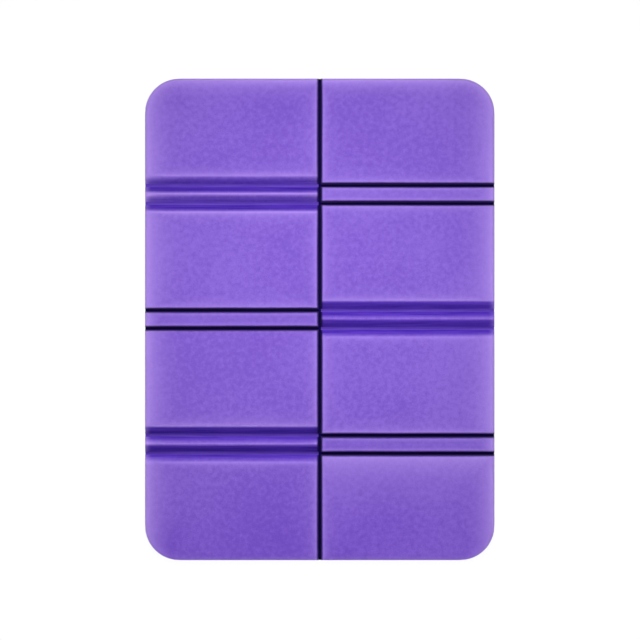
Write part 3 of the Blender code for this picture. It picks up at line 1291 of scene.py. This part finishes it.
@dataclass(frozen=True)
class FoamFinish:
    """Closed-cell foam skin with rims pale with painted highlights, and dark pressed walls with painted
    shade.

    Attributes:
        name: The material's name.
        skin: Colour of the open face.
        shade: Colour of its darker blotches.
        rim: Colour of the painted highlights along the rims.
        rim_strength: How much of the rim colour shows.
        pressed: Colour of pressed walls, partly painted shade, and of the cells' pits.
        streak: Colour of the walls' darker streaks.
        seared: Colour of the painted shade on slit walls and deep in the grooves.
        roughness: Range of the skin's roughness.
        cell_bump: Strength of the cells' bump.
        bump_depth: Depth of the cells' bump.
        pit: How much of the pressed colour shows in the cells' pits.
        foot_tint: What the skin's colour is multiplied by at the foot of the mat, painted shade where less
            light and sheen fall.
        mottle_span: The part of the mottling that runs from the darker to the paler colour.
        pit_span: The part of the cells that runs from their pits to their walls.
        streak_span: The part of the streaks that runs from the paler to the darker colour.
        rough_span: The part of the cells over which the roughness changes.
        specular: Level of the mirrored light.
        sheen: Weight of the soft sheen.
        sheen_roughness: How wide the sheen spreads.
        sheen_tint: Colour of the sheen.
    """

    name: str
    skin: Colour
    shade: Colour
    rim: Colour
    rim_strength: float = 0.9
    pressed: Colour = (92, 52, 192)
    streak: Colour = (60, 26, 160)
    seared: Colour = (15, 2, 68)
    roughness: Pair = (0.62, 0.82)
    cell_bump: float = 0.6
    bump_depth: float = 0.0004
    pit: float = 0.36
    foot_tint: Colour = (0.92, 0.845, 1.0)
    mottle_span: Pair = (0.34, 0.66)
    pit_span: Pair = (0.34, 0.56)
    streak_span: Pair = (0.35, 0.68)
    rough_span: Pair = (0.3, 0.7)
    specular: float = 0.16
    sheen: float = 0.06
    sheen_roughness: float = 0.55
    sheen_tint: Colour = (190, 165, 245)

    def material(self, groups: EffectGroups) -> Material:
        """Builds the finish.

        Args:
            groups: The shared effects.

        Returns:
            The material.
        """
        material, sheet, shader = new_material(self.name)
        grain = groups.grain.place(sheet)
        streaks = groups.streaks.place(sheet)
        marks = groups.marks.place(sheet)
        blotch = sheet.ranged(grain.outputs["Mottle"], self.mottle_span, (0.0, 1.0))
        mottled = sheet.mixed(blotch, srgb(*self.shade), srgb(*self.skin))
        pits = sheet.ranged(grain.outputs["Cells"], self.pit_span, (self.pit, 0.0))
        pitted = sheet.mixed(pits, mottled, srgb(*self.pressed))
        # Painted shade, deeper and bluer towards the foot
        open_skin = sheet.mixed(grain.outputs["Foot"], pitted, (*self.foot_tint, 1.0), "MULTIPLY")
        # Painted highlights along the rims
        rim_share = sheet.maths("MULTIPLY", marks.outputs["Rim"], self.rim_strength)
        rimmed = sheet.mixed(rim_share, open_skin, srgb(*self.rim))
        streak_share = sheet.ranged(streaks.outputs["Streaks"], self.streak_span, (0.0, 1.0))
        # The press mark's colour, partly painted shade on the groove walls
        press_and_shade_skin = sheet.mixed(streak_share, srgb(*self.pressed), srgb(*self.streak))
        marked = sheet.mixed(marks.outputs["Pressed"], rimmed, press_and_shade_skin)
        # Painted shade on the slit walls and deep in the grooves
        colour = sheet.mixed(marks.outputs["Seared"], marked, srgb(*self.seared))
        sheet.join(colour, shader.inputs["Base Color"])
        roughness = sheet.ranged(grain.outputs["Cells"], self.rough_span, self.roughness)
        sheet.join(roughness, shader.inputs["Roughness"])
        normal = sheet.bumped(grain.outputs["Cells"], self.cell_bump, self.bump_depth)
        sheet.join(normal, shader.inputs["Normal"])
        shader.inputs["Specular IOR Level"].default_value = self.specular
        shader.inputs["Sheen Weight"].default_value = self.sheen
        shader.inputs["Sheen Roughness"].default_value = self.sheen_roughness
        shader.inputs["Sheen Tint"].default_value = srgb(*self.sheen_tint)
        return material


@dataclass(frozen=True)
class WebFinish:
    """Foam that the press has compacted to a thin smooth web.

    Attributes:
        name: The material's name.
        deep: Colour of the web's face.
        light: Colour of its paler streaks.
        back: Colour of its back, which the press hasn't touched.
        roughness: Range of its roughness.
        cell_scale: Cells to the metre, which the press has made finer.
        cell_bump: Strength of the cells' bump.
        bump_depth: Depth of the cells' bump.
        streak_scale: How much finer the streaks are than on a groove's wall.
        streak_span: The part of the streaks that runs from the deeper to the paler colour.
        rough_span: The part of the mottling over which the roughness changes.
        specular: Level of the mirrored light.
    """

    name: str
    deep: Colour
    light: Colour
    back: Colour = (110, 74, 190)
    roughness: Pair = (0.5, 0.68)
    cell_scale: float = 2200.0
    cell_bump: float = 0.12
    bump_depth: float = 0.0002
    streak_scale: float = 1.6
    streak_span: Pair = (0.35, 0.7)
    rough_span: Pair = (0.3, 0.7)
    specular: float = 0.04

    def material(self, groups: EffectGroups) -> Material:
        """Builds the finish.

        Args:
            groups: The shared effects.

        Returns:
            The material.
        """
        material, sheet, shader = new_material(self.name)
        grain = groups.grain.place(sheet, cell_scale=self.cell_scale)
        streaks = groups.streaks.place(sheet, streak_scale=self.streak_scale)
        share = sheet.ranged(streaks.outputs["Streaks"], self.streak_span, (0.0, 1.0))
        streaked = sheet.mixed(share, srgb(*self.deep), srgb(*self.light))
        on_face = sheet.add("ShaderNodeAttribute", attribute_name="pressed").outputs["Fac"]
        sheet.join(sheet.mixed(on_face, srgb(*self.back), streaked), shader.inputs["Base Color"])
        roughness = sheet.ranged(grain.outputs["Mottle"], self.rough_span, self.roughness)
        sheet.join(roughness, shader.inputs["Roughness"])
        normal = sheet.bumped(grain.outputs["Cells"], self.cell_bump, self.bump_depth)
        sheet.join(normal, shader.inputs["Normal"])
        shader.inputs["Specular IOR Level"].default_value = self.specular
        return material


PANEL_FOAM = FoamFinish(
    "violet_foam_skin", skin=(139, 104, 213), shade=(123, 87, 201), rim=(178, 145, 238)
)
# The ridges' paler skin and rims are painted highlights on their crests
RIDGE_HIGHLIGHT_FOAM = FoamFinish(
    "pressed_ridge_foam", skin=(146, 112, 215), shade=(133, 97, 205), rim=(188, 152, 246)
)
# The slit web's near-black face is painted shade deep in the slit
SLIT_SHADE_WEB = WebFinish("fused_slit_web", deep=(13, 1, 66), light=(22, 4, 82))
GROOVE_WEB = WebFinish("pressed_groove_web", deep=(92, 60, 178), light=(108, 76, 190))


@dataclass(frozen=True)
class Panels:
    """The eight panels, in two columns of four rows.

    Attributes:
        plan: The mat's sizes.
        shaper: Shapes their edges.
        spacing: The widest step between grid lines.
    """

    plan: MatPlan
    shaper: EdgeShaper
    spacing: float = 0.006

    def column_section(self, side: Side) -> Section:
        """Makes the section along X, between the centre slit and the outline.

        Args:
            side: The column.

        Returns:
            The section, from the low edge to the high edge.
        """
        centre = BlockEdge(EdgeKind.SLIT, 0.0)
        outline = BlockEdge(EdgeKind.SIDE, side.value * self.plan.half_width)
        low, high = (centre, outline) if side is Side.RIGHT else (outline, centre)
        return Section.between(self.shaper, low, high, self.spacing, self.spacing)

    def build(self, material: Material) -> None:
        """Makes and dresses every panel.

        Args:
            material: Their finish.
        """
        for side in Side:
            for row in self.plan.row_numbers:
                low = self.plan.row_end(side, row, Line.LOWER)
                high = self.plan.row_end(side, row, Line.UPPER)
                block = FoamBlock(
                    name=f"foam_panel_{side.word}_{row}",
                    node=f"panel_{side.word}_{row}",
                    body=self.plan.panel_body(side, row),
                    slot="violet_foam",
                    plan=self.plan,
                    across=self.column_section(side),
                    along=Section.between(self.shaper, low, high, self.spacing, self.spacing),
                )
                block.dress(block.build(), material)


@dataclass(frozen=True)
class Spines:
    """The six spine strips between the hinge lines of the folds.

    Attributes:
        panels: The panels, whose section along X the strips share.
        ridge_crest: Half the least width of a ridge's crest.
        flat_crest: Half the least width of a flat strip's face.
        ridge_rims: How much of its painted highlights each fold's ridge shows.
        flat_marks: How much each fold's flat strip is darkened with the pressed colour, more towards the
            foot.
    """

    panels: Panels
    ridge_crest: float = 0.0005
    flat_crest: float = 0.0012
    ridge_rims: tuple[float, ...] = (1.25, 0.2, 1.0)
    flat_marks: tuple[float, ...] = (0.14, 0.31, 0.36)

    def build(self, flat_material: Material, ridge_material: Material) -> None:
        """Makes and dresses every spine strip.

        Args:
            flat_material: Finish of the flat strips.
            ridge_material: Finish of the ridges.
        """
        plan = self.panels.plan
        for side in Side:
            for fold in plan.folds:
                grooved = plan.grooved(side, fold)
                low = plan.fold_edge(side, fold, Line.LOWER, Line.LOWER)
                high = plan.fold_edge(side, fold, Line.UPPER, Line.UPPER)
                crest = self.ridge_crest if grooved else self.flat_crest
                shape = "ridge" if grooved else "flat"
                block = FoamBlock(
                    name=f"foam_{shape}_strip_{side.word}_{fold}",
                    node=f"{shape}_strip_{side.word}_{fold}",
                    body=plan.spine_body(side, fold),
                    slot="pressed_violet_foam" if grooved else "violet_foam",
                    plan=plan,
                    across=self.panels.column_section(side),
                    along=Section.between(self.panels.shaper, low, high, self.panels.spacing, crest),
                    rim_share=self.ridge_rims[fold - 1] if grooved else 1.0,
                    face_mark=0.0 if grooved else self.flat_marks[fold - 1],
                )
                block.dress(block.build(), ridge_material if grooved else flat_material)


@dataclass(frozen=True)
class HingeWebs:
    """The thin webs under the hinge lines and the centre slit.

    Attributes:
        plan: The mat's sizes.
        tuck: How far a web reaches into the blocks beside it.
        lap: How far a web passes the line where the next one takes over.
        end_gap: From a web's end to the outline.
        slit_dip: How much a slit's web thins at its hinge line.
        groove_dip: How much a groove's web thins at its hinge line.
    """

    plan: MatPlan
    tuck: float = 0.0001
    lap: float = 0.00008
    end_gap: float = 0.0001
    slit_dip: float = 0.2
    groove_dip: float = 0.7

    @property
    def slit_span(self) -> Pair:
        """From and to across a slit's hinge line, with the web's edges tucked in."""
        reach = self.plan.web_half + self.tuck
        return -reach, reach

    @property
    def groove_reach(self) -> float:
        """From a V groove's hinge line to its web's tucked edge."""
        return self.plan.groove_half + self.tuck

    def dress(self, piece: Piece, material: Material) -> None:
        """Gives a web its finish.

        Args:
            piece: The web.
            material: Its finish.
        """
        piece.data.materials.append(material)
        log.info("%s: hinge web", piece.name)

    def build_row_webs(self, slit_material: Material, groove_material: Material) -> None:
        """Makes the webs between the rows.

        Args:
            slit_material: Finish under the slits.
            groove_material: Finish under the V grooves.
        """
        for side in Side:
            for fold in self.plan.folds:
                for line in Line:
                    if self.plan.grooved(side, fold):
                        self.build_open_line(side, fold, line, groove_material)
                    else:
                        self.build_joined_line(side, fold, line, slit_material)

    def column_span(self, side: Side) -> Pair:
        """From and to along X, for a web in that column."""
        near = self.plan.web_half * side.value
        far = (self.plan.half_width - self.end_gap) * side.value
        return min(near, far), max(near, far)

    def row_beside(self, fold: int, line: Line) -> int:
        """The row of the panel that a fold's line joins to the spine."""
        return fold if line is Line.UPPER else fold + 1

    def build_joined_line(self, side: Side, fold: int, line: Line, material: Material) -> None:
        """Makes a slit's web, which lies between the spine strip and the panel.

        Args:
            side: The column.
            fold: The fold.
            line: The hinge line.
            material: The web's finish.
        """
        centre = self.plan.hinge(fold, line)
        name = f"{side.word}_{fold}_{line.word}"
        web = WebStrip(
            f"slit_web_{name}",
            Run.ALONG_X,
            centre,
            self.slit_span,
            self.column_span(side),
            self.plan,
            self.slit_dip,
        )
        piece = web.build()
        self.dress(piece, material)
        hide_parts(f"hinge_web_{name}")
        self.plan.spine_body(side, fold)
        self.plan.panel_body(side, self.row_beside(fold, line))
        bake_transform(piece)

    def build_open_line(self, side: Side, fold: int, line: Line, material: Material) -> None:
        """Makes a V groove's web in two halves, one on the spine strip and one on the panel.

        Args:
            side: The column.
            fold: The fold.
            line: The hinge line.
            material: The web's finish.
        """
        centre = self.plan.hinge(fold, line)
        name = f"{side.word}_{fold}_{line.word}"
        spine = self.plan.spine_body(side, fold)
        panel = self.plan.panel_body(side, self.row_beside(fold, line))
        for half, sign, body in (("spine", -line.value, spine), ("panel", line.value, panel)):
            near = -self.lap * sign
            far = self.groove_reach * sign
            web = WebStrip(
                f"groove_web_{name}_{half}",
                Run.ALONG_X,
                centre,
                (min(near, far), max(near, far)),
                self.column_span(side),
                self.plan,
                self.groove_dip,
            )
            piece = web.build()
            self.dress(piece, material)
            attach(piece, body)
            if body == spine:
                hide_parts(f"hinge_web_{name}")

    def build_centre_webs(self, material: Material) -> None:
        """Makes the webs between the two columns, one for each row and each spine.

        Args:
            material: Their finish.
        """
        outline = self.plan.half_length - self.end_gap
        for row in self.plan.row_numbers:
            low = -outline if row == self.plan.rows else self.plan.hinge(row, Line.UPPER) - self.lap
            high = outline if row == 1 else self.plan.hinge(row - 1, Line.LOWER) + self.lap
            bodies = [self.plan.panel_body(side, row) for side in Side]
            self.build_centre_web(f"row_{row}", (low, high), material)
        for fold in self.plan.folds:
            low = self.plan.hinge(fold, Line.LOWER) - self.lap
            high = self.plan.hinge(fold, Line.UPPER) + self.lap
            bodies = [self.plan.spine_body(side, fold) for side in Side]
            self.build_centre_web(f"fold_{fold}", (low, high), material)

    def build_centre_web(self, name: str, span: Pair, material: Material) -> None:
        """Makes one length of web under the centre slit.

        Args:
            name: Its row or fold.
            span: From and to, along Y.
            material: Its finish.
        """
        web = WebStrip(
            f"centre_slit_web_{name}",
            Run.ALONG_Y,
            0.0,
            self.slit_span,
            span,
            self.plan,
            self.slit_dip,
        )
        piece = web.build()
        self.dress(piece, material)
        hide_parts(f"centre_web_{name}")
        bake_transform(piece)


@dataclass(frozen=True)
class Lamp:
    """A soft rectangular lamp.

    Attributes:
        name: The lamp's name.
        place: Where it stands.
        size: Its width and height.
        watts: Its power.
        target: Where it points.
        spread: How wide its beam opens, in degrees.
    """

    name: str
    place: Point
    size: Pair
    watts: float
    target: Point = (0.0, 0.0, 0.0)
    spread: float = 180.0

    def build(self) -> None:
        """Makes the lamp."""
        data = bpy.data.lights.new(self.name, "AREA")
        data.shape = "RECTANGLE"
        data.size, data.size_y = self.size
        data.energy = self.watts
        data.spread = math.radians(self.spread)
        lamp = bpy.data.objects.new(self.name, data)
        lamp.location = self.place
        aim = Vector(self.target) - Vector(self.place)
        lamp.rotation_euler = aim.to_track_quat("-Z", "Y").to_euler()
        lamp.visible_camera = False
        bpy.context.scene.collection.objects.link(lamp)
        log.info("%s: lamp", self.name)


@dataclass(frozen=True)
class Studio:
    """The plain white floor, the soft light and the camera straight above.

    Attributes:
        plan: The mat's sizes.
        field: Width of the picture at the widest level of the outline.
        camera_height: From there to the camera.
        camera_aside: How far the camera stands from the middle, along X and Y.
        floor_size: Side of the floor.
        floor_drop: From the mat's back down to the floor.
        floor_veil: How much of the floor's own surface shows, since a folded mat reaches below it.
        floor_glow: Brightness that the camera sees on the floor besides its light, to keep it white.
        fill: Strength of the even light from all round.
        backdrop: Brightness of the surroundings where they show, 1 for white.
    """

    plan: MatPlan
    field: float = 0.5178
    camera_height: float = 1.6
    camera_aside: Pair = (0.0002, -0.0005)
    floor_size: float = 6.0
    floor_drop: float = 0.0002
    floor_veil: float = 0.15
    floor_glow: float = 0.42
    fill: float = 0.28
    backdrop: float = 1.0

    def build(self) -> None:
        """Makes the whole studio."""
        bpy.context.scene.view_settings.view_transform = "Standard"
        self.build_camera()
        self.build_floor()
        self.build_world()
        for lamp in self.lamps():
            lamp.build()

    def build_camera(self) -> None:
        """Makes the camera, straight above the middle of the mat."""
        data = bpy.data.cameras.new("camera_above")
        data.lens = data.sensor_width * self.camera_height / self.field
        camera = bpy.data.objects.new("camera_above", data)
        camera.location = (*self.camera_aside, self.plan.thickness / 2 + self.camera_height)
        bpy.context.scene.collection.objects.link(camera)
        bpy.context.scene.camera = camera

    def seen_directly(self, sheet: NodeSheet) -> Socket:
        """Finds the rays that show the background itself, straight, mirrored or through glass.

        Args:
            sheet: The material's or the world's nodes.

        Returns:
            The socket that is 1 for those rays.
        """
        path = sheet.add("ShaderNodeLightPath")
        mirrored = sheet.maths("MAXIMUM", path.outputs["Is Camera Ray"], path.outputs["Is Glossy Ray"])
        return sheet.maths("MAXIMUM", mirrored, path.outputs["Is Transmission Ray"])

    def build_floor(self) -> None:
        """Makes the floor, which keeps a soft shadow and lets what is below it show."""
        half = self.floor_size / 2
        height = -self.floor_drop
        signs = ((-1, -1), (1, -1), (1, 1), (-1, 1))
        corners = [(across * half, along * half, height) for across, along in signs]
        mesh = bpy.data.meshes.new("floor")
        mesh.from_pydata(corners, [], [(0, 1, 2, 3)])
        floor = bpy.data.objects.new("floor", mesh)
        bpy.context.scene.collection.objects.link(floor)
        material = bpy.data.materials.new("white_floor")
        material.use_nodes = True
        sheet = NodeSheet(material.node_tree)
        surface = sheet.add("ShaderNodeBsdfDiffuse")
        surface.inputs["Color"].default_value = WHITE
        glow = sheet.add("ShaderNodeEmission")
        strength = sheet.maths("MULTIPLY", self.seen_directly(sheet), self.floor_glow)
        sheet.join(strength, glow.inputs["Strength"])
        lit = sheet.add("ShaderNodeAddShader")
        sheet.join(surface.outputs[0], lit.inputs[0])
        sheet.join(glow.outputs[0], lit.inputs[1])
        clear = sheet.add("ShaderNodeBsdfTransparent")
        veil = sheet.add("ShaderNodeMixShader")
        veil.inputs[0].default_value = self.floor_veil
        sheet.join(clear.outputs[0], veil.inputs[1])
        sheet.join(lit.outputs[0], veil.inputs[2])
        output = sheet.add("ShaderNodeOutputMaterial")
        sheet.join(veil.outputs[0], output.inputs["Surface"])
        mesh.materials.append(material)

    def surroundings(self, sheet: NodeSheet, strength: float) -> Socket:
        """Adds even white surroundings.

        Args:
            sheet: The world's nodes.
            strength: Their brightness.

        Returns:
            Their socket.
        """
        node = sheet.add("ShaderNodeBackground")
        node.inputs["Color"].default_value = WHITE
        node.inputs["Strength"].default_value = strength
        return node.outputs[0]

    def build_world(self) -> None:
        """Makes the white surroundings and their even light."""
        world = bpy.data.worlds.new("white_room")
        world.use_nodes = True
        sheet = NodeSheet(world.node_tree)
        choice = sheet.add("ShaderNodeMixShader")
        sheet.join(self.seen_directly(sheet), choice.inputs[0])
        sheet.join(self.surroundings(sheet, self.fill), choice.inputs[1])
        sheet.join(self.surroundings(sheet, self.backdrop), choice.inputs[2])
        output = sheet.add("ShaderNodeOutputWorld")
        sheet.join(choice.outputs[0], output.inputs["Surface"])
        bpy.context.scene.world = world

    def lamps(self) -> list[Lamp]:
        """Lays out a key above the upper half, a slanting lamp from the head, and low ones elsewhere.

        Returns:
            The lamps.
        """
        key = Lamp(
            "key_above",
            place=(0.0, 0.06, 0.36),
            target=(0.0, 0.06, 0.0),
            size=(0.20, 0.20),
            watts=0.395,
        )
        head = Lamp(
            "head_lamp",
            place=(0.0, 0.62, 0.52),
            target=(0.0, -0.17, 0.0),
            size=(0.30, 0.20),
            watts=0.50,
            spread=60.0,
        )
        sides = [
            Lamp(
                f"side_{side.word}",
                place=(side.value * 0.80, -0.05, 0.24),
                size=(0.20, 0.90),
                watts=1.8,
            )
            for side in Side
        ]
        foot = Lamp("foot_lamp", place=(0.0, -0.90, 0.12), size=(0.90, 0.15), watts=3.1)
        return [key, head, *sides, foot]


def main() -> None:
    """Builds the studio and every piece of the mat."""
    logging.basicConfig(level=logging.INFO, format="%(name)s: %(message)s")
    noise.seed_set(NOISE_SEED)
    plan = MatPlan.from_frame()
    groups = EffectGroups(FoamGrain(), PressStreaks(), SkinMarks())
    panel_foam = PANEL_FOAM.material(groups)
    ridge_foam = RIDGE_HIGHLIGHT_FOAM.material(groups)
    slit_web = SLIT_SHADE_WEB.material(groups)
    groove_web = GROOVE_WEB.material(groups)
    Studio(plan).build()
    panels = Panels(plan, EdgeShaper(plan))
    panels.build(panel_foam)
    Spines(panels).build(panel_foam, ridge_foam)
    webs = HingeWebs(plan)
    webs.build_row_webs(slit_web, groove_web)
    webs.build_centre_webs(slit_web)


if __name__ == "__main__":
    main()
